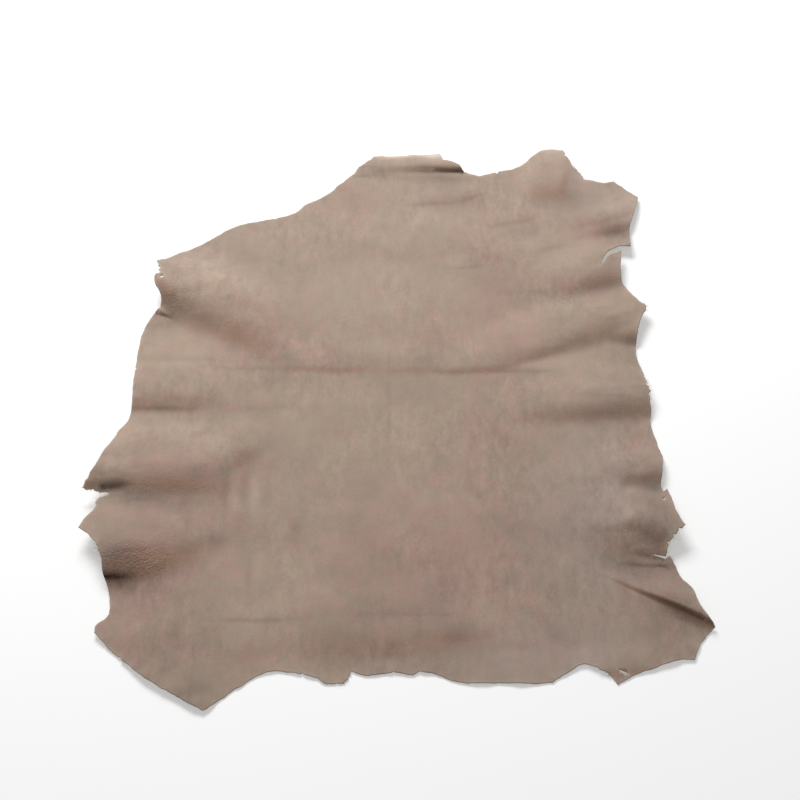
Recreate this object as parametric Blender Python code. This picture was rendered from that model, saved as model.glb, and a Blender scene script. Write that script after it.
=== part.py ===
"""One whole dressed hide, lying loose with its flesh side on a level surface.

The hide is a single thin sheet.  Its ragged outline is given by four edge tables, its lie by
a table of folds and a table of the creases that cut into them.  Table sizes are in millimetres:
across from the backbone, along from the middle of the back, with the neck at +along.  The model
is in metres, +Z up, and its origin is the centre of the foot of its bounding box.
"""
import math
from collections import namedtuple

import bmesh
import bpy
from mathutils import Vector
from mathutils.geometry import delaunay_2d_cdt, interpolate_bezier

MM = 0.001

THICKNESS = 1.2 * MM            # leather, nap included
EDGE_STEP = 9.0 * MM            # length of one facet along the outline
NET_PITCH = 14.0 * MM           # net of the sheet where it bends; twice this where it lies flat
BEND_LIMIT = 0.16 * MM          # lift against the neighbours' mean that calls for the close net
EDGE_MARGIN = 0.55              # share of the pitch kept free along the outline

SETTLE = 1.5 * MM               # lift that the weight of the leather presses flat
FLAT_LIMIT = 0.02 * MM          # anything lower than this lies flat
VALLEY_POWER = 3.0              # how sharply two neighbouring folds meet
BUTT_SHOULDER = 3.4             # 2 is a bell, more is a rounder back with a steeper side
NECK_SHOULDER = 2.2
FADE_OUT = (-0.6, -0.25)        # an edge fold ends in this stretch, if the hide goes on past it

CURVE = "curve"                 # the edge runs on smoothly through this point
CORNER = "corner"               # the edge turns sharply here: a tip, a nick or a tear

EdgePoint = namedtuple("EdgePoint", "across along turn")

NECK_EDGE = tuple(EdgePoint(*row) for row in (
    # across, along, turn
    (-309, 248, CORNER),
    (-293, 260, CURVE),
    (-270, 277, CURVE),
    (-247, 294, CURVE),
    (-221, 304, CURVE),
    (-175, 315, CURVE),
    (-153, 324, CURVE),
    (-138, 339, CURVE),
    (-108, 356, CURVE),
    (-88, 377, CURVE),
    (-70, 396, CURVE),
    (-62, 410, CORNER),
    (-50, 420, CURVE),
    (-37, 430, CORNER),
    (1, 429, CURVE),
    (39, 430, CURVE),
    (60, 433, CORNER),
    (64, 419, CORNER),
    (88, 411, CURVE),
    (96, 400, CORNER),
    (118, 392, CORNER),
    (144, 400, CURVE),
    (178, 409, CURVE),
    (200, 427, CURVE),
    (212, 438, CURVE),
    (228, 442, CURVE),
    (245, 440, CORNER),
    (258, 409, CURVE),
    (276, 387, CORNER),
    (302, 380, CURVE),
    (318, 382, CORNER),
    (340, 361, CURVE),
    (351, 349, CORNER),
))

RIGHT_EDGE = tuple(EdgePoint(*row) for row in (
    # across, along, turn
    (341, 313, CURVE),
    (334, 290, CURVE),
    (332, 264, CURVE),
    (333, 254, CORNER),
    (289, 226, CORNER),
    (319, 247, CORNER),
    (316, 222, CURVE),
    (316, 198, CURVE),
    (320, 185, CURVE),
    (333, 162, CURVE),
    (345, 151, CORNER),
    (346, 142, CURVE),
    (339, 128, CURVE),
    (331, 96, CURVE),
    (328, 72, CURVE),
    (335, 33, CURVE),
    (342, 2, CURVE),
    (341, -43, CURVE),
    (348, -74, CURVE),
    (352, -98, CURVE),
    (347, -132, CURVE),
    (348, -150, CORNER),
    (354, -143, CORNER),
    (357, -164, CURVE),
    (360, -179, CURVE),
    (365, -192, CURVE),
    (371, -204, CORNER),
    (357, -218, CURVE),
    (347, -233, CURVE),
    (344, -243, CORNER),
    (328, -240, CORNER),
    (343, -246, CORNER),
    (349, -242, CORNER),
    (357, -258, CURVE),
    (362, -273, CURVE),
    (373, -285, CURVE),
    (378, -302, CURVE),
    (382, -316, CURVE),
    (390, -329, CURVE),
    (399, -341, CORNER),
    (388, -353, CURVE),
    (378, -365, CURVE),
    (370, -386, CORNER),
))

BUTT_EDGE = tuple(EdgePoint(*row) for row in (
    # across, along, turn
    (352, -386, CURVE),
    (320, -396, CURVE),
    (293, -406, CURVE),
    (271, -418, CORNER),
    (262, -406, CURVE),
    (248, -398, CURVE),
    (231, -392, CURVE),
    (212, -401, CURVE),
    (190, -416, CORNER),
    (160, -417, CURVE),
    (124, -417, CURVE),
    (88, -417, CURVE),
    (69, -414, CURVE),
    (48, -406, CURVE),
    (24, -401, CORNER),
    (16, -406, CORNER),
    (-6, -403, CURVE),
    (-44, -406, CURVE),
    (-61, -401, CORNER),
    (-70, -417, CORNER),
    (-94, -417, CURVE),
    (-104, -410, CURVE),
    (-141, -402, CURVE),
    (-163, -401, CURVE),
    (-198, -420, CURVE),
    (-232, -446, CURVE),
    (-243, -454, CORNER),
))

LEFT_EDGE = tuple(EdgePoint(*row) for row in (
    # across, along, turn
    (-264, -443, CURVE),
    (-320, -410, CURVE),
    (-340, -394, CURVE),
    (-365, -372, CURVE),
    (-386, -350, CORNER),
    (-385, -340, CURVE),
    (-372, -327, CURVE),
    (-370, -312, CURVE),
    (-372, -295, CURVE),
    (-381, -271, CURVE),
    (-385, -250, CURVE),
    (-393, -232, CURVE),
    (-403, -219, CURVE),
    (-418, -208, CORNER),
    (-413, -196, CURVE),
    (-400, -176, CURVE),
    (-399, -164, CURVE),
    (-382, -153, CORNER),
    (-399, -152, CURVE),
    (-421, -147, CORNER),
    (-413, -136, CURVE),
    (-404, -117, CURVE),
    (-394, -93, CURVE),
    (-378, -54, CURVE),
    (-368, -30, CURVE),
    (-366, 2, CURVE),
    (-366, 40, CURVE),
    (-364, 85, CURVE),
    (-359, 117, CURVE),
    (-348, 142, CORNER),
    (-339, 152, CORNER),
    (-338, 166, CURVE),
    (-346, 181, CURVE),
    (-348, 194, CURVE),
    (-341, 200, CORNER),
    (-347, 222, CORNER),
    (-330, 229, CURVE),
))

EDGE = "edge"       # the fold runs out over the edge at its full height
INSIDE = "inside"   # the fold fades at both ends

Fold = namedtuple("Fold", "outer inner butt_halves neck_halves rise ends")

FOLDS = tuple(Fold(*row) for row in (
    # outer end, inner end, half widths towards the butt and towards the neck, rise, ends
    ((-341, 213), (-90, 77), (46, 54), (44, 60), 22, EDGE),       # left shoulder
    ((-366, 25), (-190, 24), (41, 36), (62, 50), 11, EDGE),       # left flank
    ((-394, -104), (-190, -92), (58, 50), (58, 40), 22, EDGE),     # left belly
    ((-397, -212), (-205, -186), (68, 40), (76, 56), 20, EDGE),   # left hind flank
    ((-373, -330), (-191, -316), (43, 44), (50, 44), 5, EDGE),    # left thigh
    ((-350, -392), (-236, -458), (14, 16), (16, 18), 6, INSIDE),  # left shank, lifted along its edge
    ((78, 410), (-66, 414), (10, 13), (26, 28), 8, EDGE),         # lip of the neck
    ((-102, 292), (102, 292), (54, 54), (48, 48), 5, INSIDE),     # nape
    ((186, 406), (262, 394), (57, 40), (55, 34), 9, INSIDE),      # right side of the neck
    ((354, 317), (222, 285), (32, 22), (40, 32), 9, EDGE),       # right shoulder, upper
    ((321, 232), (175, 190), (42, 40), (46, 36), 13, EDGE),       # right shoulder, lower
    ((346, 158), (60, 56), (36, 30), (50, 40), 13, EDGE),         # right flank, upper
    ((342, 14), (90, -10), (37, 31), (52, 40), 14, EDGE),         # right flank, lower
    ((352, -113), (240, -112), (22, 16), (28, 38), 8, EDGE),      # right belly
    ((352, -184), (222, -168), (58, 60), (54, 56), 20, EDGE),     # right hind flank
    ((392, -328), (270, -270), (14, 16), (34, 40), 5, EDGE),      # right thigh
    ((218, -399), (376, -382), (13, 14), (27, 27), 4, INSIDE),    # right shank, lifted along its edge
    ((-130, -322), (92, -318), (56, 52), (40, 36), 9, INSIDE),    # rump
    ((-112, 109), (56, 103), (62, 62), (106, 106), 6, INSIDE),    # saddle
    ((-266, -104), (-192, -52), (30, 30), (34, 34), 7, INSIDE),   # branch of the left belly's fold
    ((346, 113), (266, 120), (24, 16), (34, 30), 12, EDGE),       # end of the right flank's upper fold
))

Crease = namedtuple("Crease", "start end half share")

CREASES = tuple(Crease(*row) for row in (
    # start, end, half width, share of the lift that is pressed out
    ((-366, 60), (-190, 57), 7, 0.14),      # across the back, left
    ((-346, 142), (-322, 132), 5, 0.60),    # at the nick of the left flank
    ((246, 380), (286, 376), 24, 0.30),     # right side of the neck
    ((354, -137), (292, -140), 13, 0.45),   # right belly
))

HIDE_COLOUR = (0.36, 0.28, 0.22, 1.0)
HIDE_ROUGHNESS = 0.92


def clear_scene():
    """Start from an empty scene."""
    for item in list(bpy.data.objects):
        bpy.data.objects.remove(item)


def ramp(start, end, value):
    """Smooth step from 0 at start to 1 at end."""
    t = min(max((value - start) / (end - start), 0.0), 1.0)
    return t * t * (3.0 - 2.0 * t)


def fold_fade(fold, t):
    """How much of the fold stands at t, which is 0 at its outer end and 1 at its inner end."""
    if fold.ends == EDGE:
        return ramp(*FADE_OUT, t) * (1.0 - ramp(0.2, 1.05, t))
    return ramp(-0.3, 0.3, t) * (1.0 - ramp(0.7, 1.3, t))


def axis_place(start, end, across, along):
    """Share of the way from start to end, and distance from that line: positive on its left."""
    run = (end[0] - start[0], end[1] - start[1])
    length = math.hypot(*run)
    offset = (across - start[0], along - start[1])
    share = (offset[0] * run[0] + offset[1] * run[1]) / length ** 2
    side = (run[0] * offset[1] - run[1] * offset[0]) / length
    return share, side


def fold_lift(fold, across, along):
    """Lift of one rounded fold at a point, in millimetres."""
    t, side = axis_place(fold.outer, fold.inner, across, along)
    near_neck = (side > 0.0) == (fold.inner[0] > fold.outer[0])
    halves = fold.neck_halves if near_neck else fold.butt_halves
    shoulder = NECK_SHOULDER if near_neck else BUTT_SHOULDER
    half = halves[0] + (halves[1] - halves[0]) * min(max(t, 0.0), 1.0)
    return fold.rise * math.exp(-abs(side / half) ** shoulder) * fold_fade(fold, t)


def crease_share(crease, across, along):
    """Share of the lift that one crease presses out at a point."""
    t, side = axis_place(crease.start, crease.end, across, along)
    fade = ramp(-0.15, 0.1, t) * (1.0 - ramp(0.85, 1.15, t))
    return crease.share * math.exp(-(side / crease.half) ** 2) * fade


def hide_lift(x, y):
    """Height of the underside at a point, in metres: neighbouring folds meet in a valley."""
    across = x / MM
    along = y / MM
    total = 0.0
    for fold in FOLDS:
        total += fold_lift(fold, across, along) ** VALLEY_POWER
    lift = total ** (1.0 / VALLEY_POWER) * MM
    for crease in CREASES:
        lift *= 1.0 - crease_share(crease, across, along)
    lift -= SETTLE * (1.0 - math.exp(-lift / SETTLE))
    return lift if lift > FLAT_LIMIT else 0.0


def handle_direction(before, here, after):
    """Direction of the edge at a point: along its neighbours' chord on a curve."""
    if here.turn == CORNER:
        return None
    chord = Vector((after.across - before.across, after.along - before.along))
    return chord.normalized()


def outline():
    """Points of the outline in metres, clockwise as seen from above."""
    marks = NECK_EDGE + RIGHT_EDGE + BUTT_EDGE + LEFT_EDGE
    count = len(marks)
    spots = [Vector((mark.across, mark.along)) * MM for mark in marks]
    ways = [handle_direction(marks[i - 1], marks[i], marks[(i + 1) % count]) for i in range(count)]
    points = []
    for i in range(count):
        start = spots[i]
        end = spots[(i + 1) % count]
        reach = (end - start).length
        chord = (end - start).normalized()
        leave = ways[i] or chord
        arrive = ways[(i + 1) % count] or chord
        steps = max(1, round(reach / EDGE_STEP))
        run = interpolate_bezier(
            start.to_3d(),
            (start + leave * reach / 3.0).to_3d(),
            (end - arrive * reach / 3.0).to_3d(),
            end.to_3d(),
            steps + 1,
        )
        points.extend(point.to_2d() for point in run[:-1])
    return points


def is_inside(point, border):
    """True where a point lies inside the closed border."""
    inside = False
    for a, b in zip(border, border[1:] + border[:1]):
        if (a.y > point.y) != (b.y > point.y):
            if point.x < a.x + (b.x - a.x) * (point.y - a.y) / (b.y - a.y):
                inside = not inside
    return inside


def border_distance(point, border):
    """Distance from a point to the nearest stretch of the border."""
    nearest = math.inf
    for a, b in zip(border, border[1:] + border[:1]):
        stretch = b - a
        share = min(max((point - a).dot(stretch) / stretch.length_squared, 0.0), 1.0)
        nearest = min(nearest, (point - a - stretch * share).length)
    return nearest


def bends_at(x, y):
    """True where the sheet is bent enough to need the close net."""
    around = [
        hide_lift(x + NET_PITCH, y),
        hide_lift(x - NET_PITCH, y),
        hide_lift(x, y + NET_PITCH),
        hide_lift(x, y - NET_PITCH),
    ]
    return abs(sum(around) / len(around) - hide_lift(x, y)) > BEND_LIMIT


def net_points(border):
    """Inner points: staggered rows, close where the sheet bends and wide where it is flat."""
    low_x = min(point.x for point in border)
    high_x = max(point.x for point in border)
    low_y = min(point.y for point in border)
    high_y = max(point.y for point in border)
    row_pitch = NET_PITCH * math.sqrt(3.0) / 2.0
    points = []
    for row in range(math.ceil((high_y - low_y) / row_pitch)):
        shift = 0.5 * (row % 2)
        for column in range(math.ceil((high_x - low_x) / NET_PITCH)):
            spot = Vector((low_x + (column + shift) * NET_PITCH, low_y + row * row_pitch))
            on_wide_net = row % 2 == 0 and (column + row // 2) % 2 == 0
            if not on_wide_net and not bends_at(spot.x, spot.y):
                continue
            if not is_inside(spot, border):
                continue
            if border_distance(spot, border) > EDGE_MARGIN * NET_PITCH:
                points.append(spot)
    return points


def hide_mesh():
    """Underside of the hide as one net of triangles that follows the folds."""
    border = outline()
    count = len(border)
    ring = [(i, (i + 1) % count) for i in range(count)]
    spots, _, triangles, _, _, _ = delaunay_2d_cdt(
        border + net_points(border), ring, [], 1, 1e-7,
    )
    middle_x = (min(s.x for s in spots) + max(s.x for s in spots)) / 2.0
    middle_y = (min(s.y for s in spots) + max(s.y for s in spots)) / 2.0
    sheet = bmesh.new()
    corners = []
    for spot in spots:
        place = (spot.x - middle_x, spot.y - middle_y, hide_lift(spot.x, spot.y))
        corners.append(sheet.verts.new(place))
    for triangle in triangles:
        sheet.faces.new([corners[i] for i in triangle])
    bmesh.ops.recalc_face_normals(sheet, faces=sheet.faces)
    if sum(face.normal.z for face in sheet.faces) < 0.0:
        bmesh.ops.reverse_faces(sheet, faces=sheet.faces)
    mesh = bpy.data.meshes.new("hide")
    sheet.to_mesh(mesh)
    sheet.free()
    return mesh


def leather_material():
    """Dry napped leather in a warm grey beige."""
    material = bpy.data.materials.new("hide_leather")
    material.use_nodes = True
    shader = material.node_tree.nodes["Principled BSDF"]
    shader.inputs["Base Color"].default_value = HIDE_COLOUR
    shader.inputs["Roughness"].default_value = HIDE_ROUGHNESS
    shader.inputs["Metallic"].default_value = 0.0
    return material


def make_hide():
    """The hide: its underside net, given the leather's thickness upwards."""
    mesh = hide_mesh()
    mesh.materials.append(leather_material())
    hide = bpy.data.objects.new("hide", mesh)
    bpy.context.scene.collection.objects.link(hide)
    mesh.shade_smooth()
    thick = hide.modifiers.new("thickness", "SOLIDIFY")
    thick.thickness = THICKNESS
    thick.offset = 1.0
    thick.use_even_offset = True
    thick.use_quality_normals = True
    return hide


def main():
    clear_scene()
    make_hide()


main()
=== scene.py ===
"""Looks of one whole dressed hide, lying loose with its flesh side on a pale floor.

Tables and the sizes beside them are in millimetres: across from the backbone, along from the
middle of the back, with the neck at +along.  The model is in metres, +Z up, in the frame of the
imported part.
"""

import math
from collections import namedtuple

import bpy
import numpy as np
from bpy.props import (
    FloatProperty, FloatVectorProperty, IntProperty, PointerProperty,
)
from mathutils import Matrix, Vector, noise
from mathutils.geometry import delaunay_2d_cdt, interpolate_bezier


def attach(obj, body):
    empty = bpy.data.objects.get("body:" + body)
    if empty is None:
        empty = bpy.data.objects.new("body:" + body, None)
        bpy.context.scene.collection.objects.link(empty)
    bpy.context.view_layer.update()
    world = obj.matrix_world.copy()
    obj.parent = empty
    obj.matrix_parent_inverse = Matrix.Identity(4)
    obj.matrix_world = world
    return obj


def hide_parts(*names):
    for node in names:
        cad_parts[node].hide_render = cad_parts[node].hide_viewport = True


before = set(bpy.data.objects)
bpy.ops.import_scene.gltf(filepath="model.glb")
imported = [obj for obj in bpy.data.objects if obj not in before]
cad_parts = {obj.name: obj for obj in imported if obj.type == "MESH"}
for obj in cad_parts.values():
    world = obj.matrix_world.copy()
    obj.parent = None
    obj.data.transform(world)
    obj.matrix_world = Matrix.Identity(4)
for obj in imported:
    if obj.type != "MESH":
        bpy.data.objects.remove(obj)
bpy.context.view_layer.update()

bl_info = {
    "name": "Loose Leather Hide",
    "version": (1, 0, 0),
    "blender": (4, 5, 0),
    "location": "View3D > Sidebar > Hide",
    "description": "One whole napped hide in its folds, with its torn edge and a plain studio",
    "category": "Add Mesh",
}

MM = 0.001
BODY = "root"
SOLID = "hide"
WHITE = (1.0, 1.0, 1.0, 1.0)


def table(kind, *rows):
    """A table's rows, with a name for each column."""
    return tuple(kind(*row) for row in rows)


# ---------------------------------------------------------------- outline

CURVE = "curve"         # the edge runs on smoothly through this point
CORNER = "corner"       # the edge turns sharply here: a tip, a nick or a tear

EdgePoint = namedtuple("EdgePoint", "across along turn", defaults=(CURVE,))

NECK_EDGE = table(
    EdgePoint,
    # across, along, and CORNER where the edge turns sharply
    (-309, 248, CORNER), (-293, 260), (-270, 277), (-247, 294), (-221, 304), (-175, 315),
    (-153, 324), (-138, 339), (-108, 356), (-88, 377), (-70, 396), (-62, 410, CORNER), (-50, 420),
    (-37, 430, CORNER), (1, 429), (39, 430), (60, 433, CORNER), (64, 419, CORNER),
    (76, 416, CORNER), (88, 410), (96, 400, CORNER), (118, 392, CORNER), (144, 400), (178, 409),
    (200, 427), (212, 438), (228, 442), (245, 440, CORNER), (258, 409), (276, 387, CORNER),
    (302, 380), (318, 382, CORNER), (340, 361), (351, 349, CORNER),
)

RIGHT_EDGE = table(
    EdgePoint,
    (341, 313), (334, 290), (332, 264), (333, 254, CORNER), (316, 255, CORNER), (297, 242),
    (287, 219, CORNER), (301, 238), (319, 247, CORNER), (316, 222), (316, 198), (320, 185),
    (333, 162), (345, 151, CORNER), (346, 142), (339, 128), (331, 96), (328, 72), (335, 33),
    (342, 2), (341, -43), (348, -74), (352, -98), (347, -132), (348, -150, CORNER),
    (354, -143, CORNER), (357, -164), (360, -179), (365, -192), (371, -204, CORNER), (357, -218),
    (347, -233), (344, -243, CORNER), (328, -240, CORNER), (343, -246, CORNER),
    (349, -242, CORNER), (357, -258), (362, -273), (373, -285), (378, -302), (382, -316),
    (390, -329), (399, -341, CORNER), (388, -353), (378, -365), (370, -386, CORNER),
)

BUTT_EDGE = table(
    EdgePoint,
    (352, -386), (320, -396), (293, -406), (271, -418, CORNER), (262, -406), (248, -398),
    (231, -392), (212, -401), (190, -416, CORNER), (160, -417), (124, -417), (88, -417),
    (69, -414), (48, -406), (24, -401, CORNER), (16, -406, CORNER), (-6, -403), (-44, -406),
    (-61, -401, CORNER), (-70, -417, CORNER), (-94, -417), (-104, -410), (-141, -402),
    (-163, -401), (-198, -420), (-232, -446), (-243, -454, CORNER),
)

LEFT_EDGE = table(
    EdgePoint,
    (-264, -443), (-320, -410), (-340, -394), (-365, -372), (-386, -350, CORNER), (-385, -340),
    (-372, -327), (-370, -312), (-372, -295), (-381, -271), (-385, -250), (-393, -232),
    (-403, -219), (-418, -208, CORNER), (-413, -196), (-400, -176), (-399, -164),
    (-382, -153, CORNER), (-399, -152), (-421, -147, CORNER), (-413, -136), (-404, -117),
    (-394, -93), (-378, -54), (-368, -30), (-366, 2), (-366, 40), (-364, 85), (-359, 117),
    (-348, 142, CORNER), (-339, 152, CORNER), (-338, 166), (-346, 181), (-348, 194),
    (-341, 200, CORNER), (-347, 222, CORNER), (-330, 229),
)

Ragged = namedtuple("Ragged", "across along reach bite")

RAGGED = table(
    Ragged,
    # middle of the stretch, reach along the edge, depth of the torn teeth
    (355, -222, 22, 2.2),       # torn hind flank, right
    (340, 10, 26, 1.6),         # flank, right
    (345, 148, 14, 1.8),
    (92, 404, 16, 1.2),         # right end of the neck's lip
    (-46, 420, 16, 1.2),        # left end of the neck's lip
    (262, 400, 24, 1.5),        # behind the right ear
    (-345, 214, 18, 1.6),       # left shoulder
    (-400, -150, 22, 1.6),      # left flank's notch
    (-72, -410, 16, 1.4),       # middle of the butt
    (350, -240, 10, 1.0),
    (-390, -240, 22, 1.1),
    (250, -402, 26, 1.1),
)

Nick = namedtuple("Nick", "across along depth half")

NICKS = table(
    Nick,
    # place on the edge, depth and half width of a small bite out of it
    (338, 18, 3.2, 1.6), (338, 10, 2.6, 1.4), (341, 2, 3.4, 1.8), (364, -210, 2.6, 1.0),
    (357, -218, 3.4, 1.1), (350, -228, 3.0, 1.0), (346, -236, 2.2, 0.9), (274, 388, 3.0, 1.8),
    (283, 383, 2.6, 1.6), (249, 430, 5.0, 1.8), (144, 400, 3.6, 1.6), (-342, 208, 3.4, 1.8),
    (-122, -405, 3.0, 1.6), (-8, -402, 2.4, 1.4), (138, -420, 3.0, 1.5), (-366, 44, 2.4, 1.4),
    (-371, -46, 2.2, 1.5), (-182, 313, 2.2, 1.4), (387, -352, 2.6, 1.6), (-352, -384, 2.6, 1.5),
)

Hole = namedtuple("Hole", "across along long_half short_half turn")

HOLES = table(
    Hole,
    # middle, half length, half width, degrees that the length is turned from across
    (-338, 192, 2.4, 1.3, 25), (279, -402, 6.5, 1.1, -22), (347, -164, 1.7, 1.1, 60),
    (-391, -236, 3.2, 0.8, -52), (325, 213, 1.5, 0.9, 80),
)

SOLID_EDGE_STEP = 9.0   # between the points of the solid's outline
# slow, quick and toothed wander of the edge: length of its waves, and its place in the noise
EDGE_WAVES = ((17.0, 3.1), (5.5, 8.7), (3.1, 5.3))
SLIT_POINTS = 8         # points of the outline this near along it are never a slit's other side
SLIT_SHUT = 1.0         # gap at which the edge's wander is all but gone
SLIT_OPEN = 9.0         # and how much wider a gap has the whole of it

RINGS = ((1.5, 1), (3.9, 2))    # how deep inside the edge, and every how many of its points
NARROW = 20.0           # half width up to which a small fold gets the closer net
PLEAT_MARGIN = 3.0      # and how far round it
# points along the thin painted crease shadows: how far beside the line, how far apart along it,
# and how far from it the plain net starts
PINCH_ROWS = (-4.2, -2.6, -1.3, 0.0, 1.3, 2.6, 4.2)
PINCH_STEP = 2.2
PINCH_CLEAR = 5.6
HOLE_UNEVEN = 0.28      # how far a hole's edge strays, as a share of its size
HOLE_CLEAR = 1.2        # no point of the net lies nearer to a hole
FRAYED = 0.22           # share of the loose fibres that stand where the edge isn't torn
CHUNK = 2000            # points that are measured at a time, to save memory


# ---------------------------------------------------------------- lie

EDGE = "edge"           # the fold runs out over the edge at its full height
INSIDE = "inside"       # the fold fades at both ends

Fold = namedtuple("Fold", "start end butt_halves neck_halves rise ends")

FOLDS = table(
    Fold,
    # outer end, inner end, half widths towards the butt and towards the neck, rise, ends
    ((-341, 213), (-90, 77), (46, 54), (44, 60), 22, EDGE),       # left shoulder
    ((-366, 25), (-190, 24), (41, 36), (62, 50), 11, EDGE),       # left flank
    ((-394, -104), (-190, -92), (58, 50), (58, 40), 22, EDGE),    # left belly
    ((-397, -212), (-205, -186), (68, 40), (76, 56), 20, EDGE),   # left hind flank
    ((-373, -330), (-191, -316), (43, 44), (50, 44), 5, EDGE),    # left thigh
    ((-350, -392), (-236, -458), (14, 16), (16, 18), 6, INSIDE),  # left shank, along its edge
    ((78, 410), (-66, 414), (8, 12), (26, 28), 8, EDGE),          # lip of the neck
    ((-102, 292), (102, 292), (54, 54), (48, 48), 5, INSIDE),     # nape
    ((186, 406), (262, 394), (57, 40), (55, 34), 9, INSIDE),      # right side of the neck
    ((354, 317), (222, 285), (32, 22), (40, 32), 9, EDGE),        # right shoulder, upper
    ((321, 232), (175, 190), (42, 40), (46, 36), 13, EDGE),       # right shoulder, lower
    ((346, 158), (60, 56), (36, 30), (50, 40), 13, EDGE),         # right flank, upper
    ((342, 14), (90, -10), (37, 31), (52, 40), 14, EDGE),         # right flank, lower
    ((352, -113), (240, -112), (22, 16), (28, 38), 8, EDGE),      # right belly
    ((352, -184), (222, -168), (58, 60), (54, 56), 20, EDGE),     # right hind flank
    ((392, -328), (270, -270), (14, 16), (34, 40), 5, EDGE),      # right thigh
    ((218, -399), (376, -382), (13, 14), (27, 27), 4, INSIDE),    # right shank, along its edge
    ((-130, -322), (92, -318), (56, 52), (40, 36), 9, INSIDE),    # rump
    ((-112, 109), (56, 103), (62, 62), (106, 106), 6, INSIDE),    # saddle
    ((-266, -104), (-192, -52), (30, 30), (34, 34), 7, INSIDE),   # branch of the left belly's fold
    ((346, 113), (266, 120), (24, 16), (34, 30), 12, EDGE),       # end of the upper right flank
)

# small sharp pleats, too narrow for the solid
PLEATS = table(
    Fold,
    # as above
    ((358, -112), (318, -116), (20, 14), (20, 16), 7, EDGE),      # pinch of the right belly
    ((-346, 147), (-312, 133), (3, 3), (8, 6), 6, EDGE),          # flap at the left nick
    ((350, -240), (304, -242), (4, 3), (14, 10), 3, EDGE),        # over the right hind tear
    ((336, 262), (286, 240), (5, 5), (28, 22), 9, EDGE),          # over the right shoulder tear
    ((-366, -7), (-230, -9), (10, 10), (26, 20), 5, EDGE),        # foot of the left flank's fold
)

# the same, on top of whatever lies under them
SHARP = table(
    Fold,
    # as above
    ((397, -333), (258, -262), (4, 3), (36, 24), 8, EDGE),        # right thigh
    ((-390, -264), (-328, -261), (10, 8), (32, 20), 4.5, EDGE),   # behind the left flank
    ((-394, -132), (-345, -131), (12, 10), (26, 20), 5.0, EDGE),  # left belly
)

# small soft wrinkles, a little bent
WRINKLES = table(
    Fold,
    # as above
    ((16, 344), (80, 350), (8, 8), (16, 16), 1.3, INSIDE),        # behind the lip of the neck
    ((84, 352), (122, 364), (8, 8), (14, 14), 1.3, INSIDE),
    ((130, 306), (190, 318), (8, 8), (14, 14), 0.9, INSIDE),
    ((66, 228), (112, 232), (6, 6), (12, 12), 0.8, INSIDE),       # over the right shoulder
    ((140, 184), (210, 190), (9, 10), (16, 18), 0.7, INSIDE),
    ((-350, 184), (-302, 160), (12, 12), (20, 20), 2.0, EDGE),    # left shoulder, at the edge
    ((-290, 60), (-150, 58), (9, 9), (26, 26), 0.9, INSIDE),      # across the back
    ((-150, 58), (-46, 58), (11, 11), (30, 30), 1.8, INSIDE),
    ((-20, 55), (70, 55), (10, 10), (28, 28), 1.0, INSIDE),
    ((60, 56), (150, 60), (11, 11), (32, 32), 2.2, INSIDE),
    ((100, 49), (220, 50), (5, 5), (10, 10), 0.6, INSIDE),
    ((150, 64), (215, 88), (10, 10), (22, 22), 1.2, INSIDE),
    ((-232, -8), (-130, -2), (10, 10), (16, 16), 0.7, INSIDE),
    ((-350, -122), (-222, -112), (46, 40), (26, 26), 3.0, INSIDE),  # foot of the left belly's fold
    ((-290, -219), (-206, -196), (18, 18), (24, 24), 0.8, INSIDE),  # left hind flank
    ((-374, -236), (-330, -230), (8, 8), (12, 12), 1.0, INSIDE),
    ((-376, -158), (-310, -152), (10, 10), (14, 14), 0.9, INSIDE),
    ((256, -190), (302, -196), (12, 12), (18, 18), 1.6, INSIDE),  # right hind flank
    ((312, -200), (352, -223), (10, 10), (16, 16), 2.0, EDGE),
    ((300, -232), (340, -236), (5, 5), (8, 8), 1.0, INSIDE),
    ((290, -249), (346, -251), (4, 4), (10, 10), 1.3, INSIDE),
    ((-222, -324), (-140, -325), (7, 7), (16, 16), 0.7, INSIDE),  # over the rump
    ((44, -346), (112, -341), (12, 12), (18, 18), 1.1, INSIDE),
    ((246, 10), (326, 4), (9, 9), (14, 14), 0.9, INSIDE),         # right flank
    ((340, -114), (232, -113), (17, 16), (30, 30), 2.0, INSIDE),  # right belly
    ((276, 134), (340, 148), (9, 9), (16, 16), 1.0, INSIDE),
    ((250, 302), (326, 320), (9, 9), (16, 16), 0.9, INSIDE),      # right shoulder
    ((186, 258), (256, 272), (10, 10), (18, 18), 0.9, INSIDE),
)

Crease = namedtuple("Crease", "start end half share")

CREASES = table(
    Crease,
    # start, end, half width, share of the lift that is pressed out
    ((-366, 60), (-190, 57), 7, 0.14),        # across the back, left
    ((-346, 142), (-322, 132), 5, 0.6),       # at the nick of the left flank
    ((246, 380), (286, 376), 24, 0.3),        # right side of the neck
    ((354, -137), (292, -140), 13, 0.45),     # right belly
)

SETTLE = 1.5            # lift that the weight of the leather presses flat
VALLEY_POWER = 3.0      # how sharply two neighbouring folds meet
BUTT_SHOULDER = 3.4     # 2 is a bell, more is a rounder back with a steeper side
NECK_SHOULDER = 2.2
# where a fold rises and falls along its line: an edge fold ends soon after it leaves the hide
FADES = {EDGE: ((-0.6, -0.25), (0.2, 1.05)), INSIDE: ((-0.3, 0.3), (0.7, 1.3))}
WRINKLE_BEND = 4.0      # how far the wrinkles bend off their lines, and over what length
WRINKLE_BEND_LENGTH = 52.0
PATCH_BEND_LENGTH = 47.0
PATCH_BEND_LIMIT = 40.0     # a patch larger than this bends no further
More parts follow.
